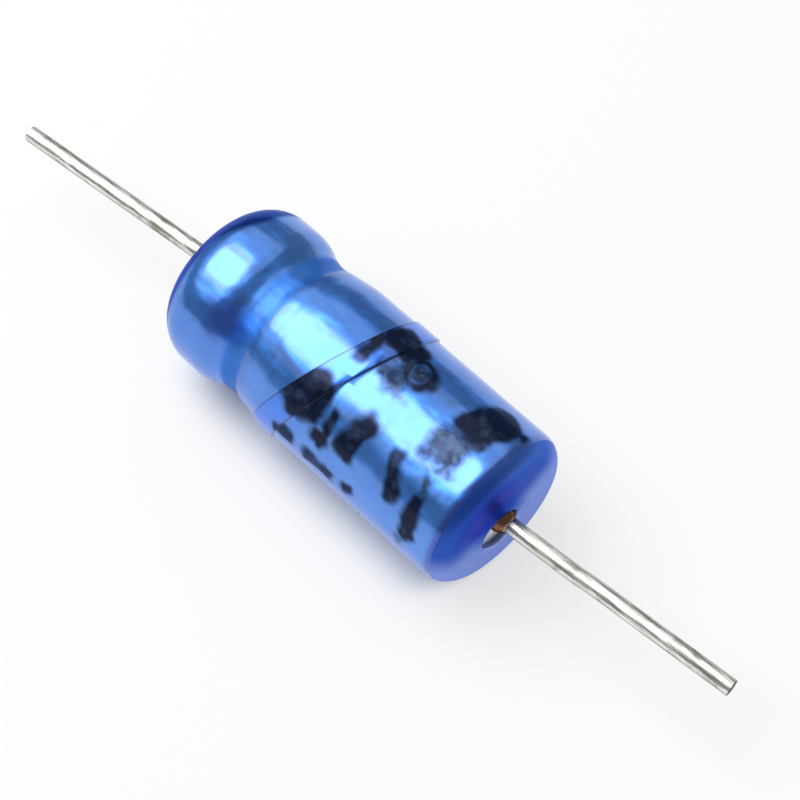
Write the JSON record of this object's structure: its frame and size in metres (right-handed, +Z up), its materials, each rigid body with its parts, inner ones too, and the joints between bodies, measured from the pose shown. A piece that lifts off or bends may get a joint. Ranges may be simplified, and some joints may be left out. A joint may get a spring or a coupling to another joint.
{
  "type": "axial electrolytic capacitor",
  "caption": "Small axial aluminium electrolytic capacitor in blue metallic shrink film, grooved at the positive end, with tinned wire leads on its axis.",
  "frame": {"origin": "on the surface that it lies on, under the middle of the can", "axes": "+X along the can's axis from the positive, grooved end to the negative, closed end; +Z up"},
  "size_m": [0.0434, 0.0086, 0.0086],
  "materials": {
    "can_aluminium": "drawn, bare",
    "seal_rubber": "matte",
    "stud_aluminium": "bare",
    "tinned_wire": "tinned, bright",
    "foil_and_paper": "soaked roll",
    "tape": "clear amber tape",
    "tab_aluminium": "etched foil",
    "blue_film": "tinted clear shrink film over bright metal",
    "printed_film": "tinted clear shrink film over bright metal",
    "black_ink": "worn print"
  },
  "bodies": {
    "root": {"can": "can_aluminium", "end_seal": "seal_rubber", "anode_stud": "stud_aluminium", "positive_lead": "tinned_wire", "negative_lead": "tinned_wire", "winding": "foil_and_paper", "closing_tape": "tape", "anode_tab": "tab_aluminium", "cathode_tab": "tab_aluminium", "plain_sleeve": "blue_film", "printed_sleeve": "printed_film", "print_marks": "black_ink"}
  },
  "joints": []
}
